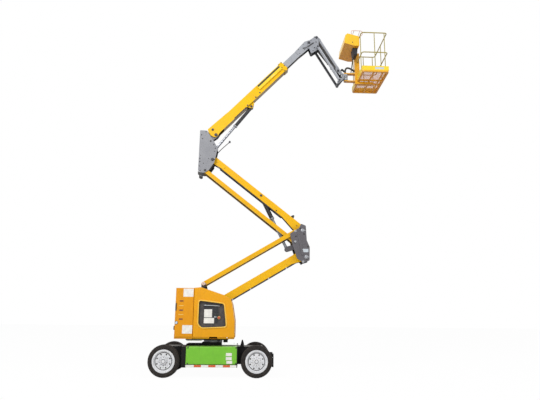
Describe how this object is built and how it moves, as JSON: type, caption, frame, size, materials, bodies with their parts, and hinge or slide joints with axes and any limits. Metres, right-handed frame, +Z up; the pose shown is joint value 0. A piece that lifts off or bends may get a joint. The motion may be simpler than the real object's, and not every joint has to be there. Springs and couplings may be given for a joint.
{
  "type": "articulating boom lift",
  "caption": "Self-propelled electric articulating boom lift with a folding riser, telescopic main boom, jib and rotating work platform.",
  "frame": {"origin": "on the ground, directly below the centre of the slew ring", "axes": "+Z up, +X the way the boom points at rest, which is also from the drive axle to the steered axle; +Y to the left of +X"},
  "size_m": [5.75, 1.75, 8.7892],
  "materials": {
    "frame_black": "satin black paint",
    "battery_green": "gloss moulded cover",
    "strip_white": "reflective film",
    "bearing_steel": "machined steel",
    "tyre": "matte rubber",
    "rim_silver": "satin silver paint",
    "weight_yellow": "gloss paint on a casting",
    "hood_yellow": "gloss moulded hood",
    "panel_black": "matte moulded panel",
    "boom_yellow": "gloss yellow paint",
    "link_grey": "satin dark grey paint",
    "knuckle_grey": "satin light grey paint",
    "cylinder_black": "satin black paint",
    "rod_chrome": "polished",
    "inner_grey": "satin grey paint",
    "jib_grey": "satin grey paint",
    "platform_yellow": "gloss yellow paint",
    "mesh_orange": "satin orange paint",
    "rail_yellow": "satin dark yellow paint",
    "console_yellow": "gloss moulded cover"
  },
  "bodies": {
    "chassis": {"chassis_frame": "frame_black", "battery_box_near": "battery_green", "battery_box_far": "battery_green", "side_strip_near": "strip_white", "side_strip_far": "strip_white", "axle_front": "frame_black", "axle_rear": "frame_black", "slew_ring": "bearing_steel"},
    "steer_near": {"knuckle_near": "frame_black"},
    "steer_far": {"knuckle_far": "frame_black"},
    "tie_rod": {"tie_rod": "frame_black"},
    "wheel_rear_near": {"tyre_rear_near": "tyre", "rim_rear_near": "rim_silver"},
    "wheel_rear_far": {"tyre_rear_far": "tyre", "rim_rear_far": "rim_silver"},
    "wheel_front_near": {"tyre_front_near": "tyre", "rim_front_near": "rim_silver"},
    "wheel_front_far": {"tyre_front_far": "tyre", "rim_front_far": "rim_silver"},
    "turntable": {"turntable": "frame_black", "riser_cheeks": "frame_black", "riser_pin": "frame_black", "counterweight": "weight_yellow", "hood_near": "hood_yellow", "hood_far": "hood_yellow", "ground_panel": "panel_black"},
    "lower_arm": {"lower_arm": "boom_yellow"},
    "lower_link": {"lower_link": "boom_yellow"},
    "mid_link": {"mid_link": "link_grey"},
    "upper_arm": {"upper_arm": "boom_yellow"},
    "upper_link": {"upper_link": "boom_yellow"},
    "upper_knuckle": {"upper_knuckle": "knuckle_grey"},
    "riser_barrel": {"riser_barrel": "cylinder_black"},
    "riser_rod": {"riser_rod": "rod_chrome"},
    "boom_outer": {"boom_outer": "boom_yellow", "hose_carrier": "boom_yellow"},
    "boom_inner": {"boom_inner": "inner_grey"},
    "lift_barrel": {"lift_barrel": "cylinder_black"},
    "lift_rod": {"lift_rod": "rod_chrome"},
    "jib_base": {"jib_base": "jib_grey"},
    "jib_arm": {"jib_arm": "jib_grey"},
    "jib_links": {"jib_links": "jib_grey"},
    "jib_barrel": {"jib_barrel": "cylinder_black"},
    "jib_rod": {"jib_rod": "rod_chrome"},
    "jib_bracket": {"jib_bracket": "jib_grey"},
    "platform": {"platform_support": "platform_yellow", "platform_floor": "platform_yellow", "floor_mesh": "mesh_orange", "platform_rails_near": "rail_yellow", "platform_rails_far": "rail_yellow", "platform_rails_end": "rail_yellow", "platform_rails_entry": "rail_yellow", "toe_boards_near": "platform_yellow", "toe_boards_far": "platform_yellow", "toe_boards_end": "platform_yellow", "toe_boards_entry": "platform_yellow", "control_console": "console_yellow"}
  },
  "joints": [
    {"name": "steer_near_turn", "type": "hinge", "parent": "chassis", "child": "steer_near", "pos_m": [1.015, -0.607, 0.35], "axis": [0, 0, 1], "range_deg": [-30, 30]},
    {"name": "steer_far_turn", "type": "hinge", "parent": "chassis", "child": "steer_far", "pos_m": [1.015, 0.607, 0.35], "axis": [0, 0, 1], "range_deg": [-30.5, 30.5]},
    {"name": "tie_rod_turn", "type": "hinge", "parent": "steer_near", "child": "tie_rod", "pos_m": [0.825, -0.607, 0.3], "axis": [0, 0, 1], "range_deg": [-30.5, 30.5]},
    {"name": "rear_near_spin", "type": "hinge", "parent": "chassis", "child": "wheel_rear_near", "pos_m": [-1.015, -0.755, 0.35], "axis": [0, 1, 0], "continuous": true},
    {"name": "rear_far_spin", "type": "hinge", "parent": "chassis", "child": "wheel_rear_far", "pos_m": [-1.015, 0.755, 0.35], "axis": [0, 1, 0], "continuous": true},
    {"name": "front_near_spin", "type": "hinge", "parent": "steer_near", "child": "wheel_front_near", "pos_m": [1.015, -0.755, 0.35], "axis": [0, 1, 0], "continuous": true},
    {"name": "front_far_spin", "type": "hinge", "parent": "steer_far", "child": "wheel_front_far", "pos_m": [1.015, 0.755, 0.35], "axis": [0, 1, 0], "continuous": true},
    {"name": "slew_turn", "type": "hinge", "parent": "chassis", "child": "turntable", "pos_m": [0, 0, 0.727], "axis": [0, 0, 1], "range_deg": [-177.5, 177.5]},
    {"name": "riser_lift", "type": "hinge", "parent": "turntable", "child": "lower_arm", "pos_m": [0, 0, 1.434], "axis": [0, -1, 0], "range_deg": [-38.5, 24]},
    {"name": "lower_link_turn", "type": "hinge", "parent": "turntable", "child": "lower_link", "pos_m": [-0.262, 0, 2.062], "axis": [0, -1, 0], "range_deg": [-39, 24.5]},
    {"name": "mid_link_turn", "type": "hinge", "parent": "lower_arm", "child": "mid_link", "pos_m": [2.19778, 0, 2.73895], "axis": [0, -1, 0], "range_deg": [-24.5, 39]},
    {"name": "upper_arm_turn", "type": "hinge", "parent": "mid_link", "child": "upper_arm", "pos_m": [2.10878, 0, 3.39295], "axis": [0, -1, 0], "range_deg": [-24.5, 39]},
    {"name": "upper_link_turn", "type": "hinge", "parent": "mid_link", "child": "upper_link", "pos_m": [1.93378, 0, 3.10795], "axis": [0, -1, 0], "range_deg": [-24.5, 39]},
    {"name": "upper_knuckle_turn", "type": "hinge", "parent": "upper_arm", "child": "upper_knuckle", "pos_m": [-0.15842, 0, 5.17706], "axis": [0, -1, 0], "range_deg": [-39, 24.5]},
    {"name": "riser_barrel_turn", "type": "hinge", "parent": "upper_arm", "child": "riser_barrel", "pos_m": [1.0855, 0, 4.28854], "axis": [0, -1, 0], "range_deg": [-4.17, 2.79]},
    {"name": "riser_rod_slide", "type": "slide", "parent": "riser_barrel", "child": "riser_rod", "axis": [0.4413, 0, -0.8974], "range_m": [-0.372, 0.2357]},
    {"name": "boom_lift", "type": "hinge", "parent": "upper_knuckle", "child": "boom_outer", "pos_m": [-0.09642, 0, 5.86006], "axis": [0, -1, 0], "range_deg": [-46, 26]},
    {"name": "lift_barrel_turn", "type": "hinge", "parent": "boom_outer", "child": "lift_barrel", "pos_m": [0.80283, 0, 6.69037], "axis": [0, -1, 0], "range_deg": [-4.27, 7.17]},
    {"name": "lift_rod_slide", "type": "slide", "parent": "lift_barrel", "child": "lift_rod", "axis": [-0.6065, 0, -0.7951], "range_m": [-0.2125, 0.1245]},
    {"name": "boom_extend", "type": "slide", "parent": "boom_outer", "child": "boom_inner", "axis": [0.6858, 0, 0.7278], "range_m": [-0.45, 0.85]},
    {"name": "jib_base_level", "type": "hinge", "parent": "boom_inner", "child": "jib_base", "pos_m": [2.32856, 0, 8.57919], "axis": [0, -1, 0], "range_deg": [-26.5, 46.5]},
    {"name": "jib_lift", "type": "hinge", "parent": "jib_base", "child": "jib_arm", "pos_m": [2.53856, 0, 8.73919], "axis": [0, -1, 0], "range_deg": [0, 120]},
    {"name": "jib_links_turn", "type": "hinge", "parent": "jib_base", "child": "jib_links", "pos_m": [2.55456, 0, 8.42119], "axis": [0, -1, 0], "range_deg": [-0.5, 120.5]},
    {"name": "jib_bracket_turn", "type": "hinge", "parent": "jib_arm", "child": "jib_bracket", "pos_m": [3.10802, 0, 7.77244], "axis": [0, -1, 0], "range_deg": [-120.5, 0.5]},
    {"name": "jib_barrel_turn", "type": "hinge", "parent": "jib_base", "child": "jib_barrel", "pos_m": [2.50856, 0, 8.49919], "axis": [0, -1, 0], "range_deg": [-0.5, 115.51]},
    {"name": "jib_rod_slide", "type": "slide", "parent": "jib_barrel", "child": "jib_rod", "axis": [0.5992, 0, -0.8006], "range_m": [-0.01, 0.4212]},
    {"name": "platform_rotate", "type": "hinge", "parent": "jib_bracket", "child": "platform", "pos_m": [3.32302, 0, 7.62044], "axis": [0, 0, 1], "range_deg": [-80, 80]}
  ],
  "couplings": [
    {"joint": "steer_far_turn", "follows": "steer_near_turn", "ratio": 1},
    {"joint": "tie_rod_turn", "follows": "steer_near_turn", "ratio": -1},
    {"joint": "lower_link_turn", "follows": "riser_lift", "ratio": 1},
    {"joint": "mid_link_turn", "follows": "riser_lift", "ratio": -1},
    {"joint": "upper_arm_turn", "follows": "riser_lift", "ratio": -1},
    {"joint": "upper_link_turn", "follows": "riser_lift", "ratio": -1},
    {"joint": "upper_knuckle_turn", "follows": "riser_lift", "ratio": 1},
    {"joint": "riser_barrel_turn", "follows": "riser_lift", "ratio": 0.09519},
    {"joint": "riser_rod_slide", "follows": "riser_lift", "m_per_rad": 0.53872},
    {"joint": "lift_barrel_turn", "follows": "boom_lift", "ratio": -0.14501},
    {"joint": "lift_rod_slide", "follows": "boom_lift", "m_per_rad": 0.25223},
    {"joint": "jib_base_level", "follows": "boom_lift", "ratio": -1},
    {"joint": "jib_links_turn", "follows": "jib_lift", "ratio": 1},
    {"joint": "jib_bracket_turn", "follows": "jib_lift", "ratio": -1},
    {"joint": "jib_barrel_turn", "follows": "jib_lift", "ratio": 0.9584},
    {"joint": "jib_rod_slide", "follows": "jib_lift", "m_per_rad": 0.19631}
  ]
}
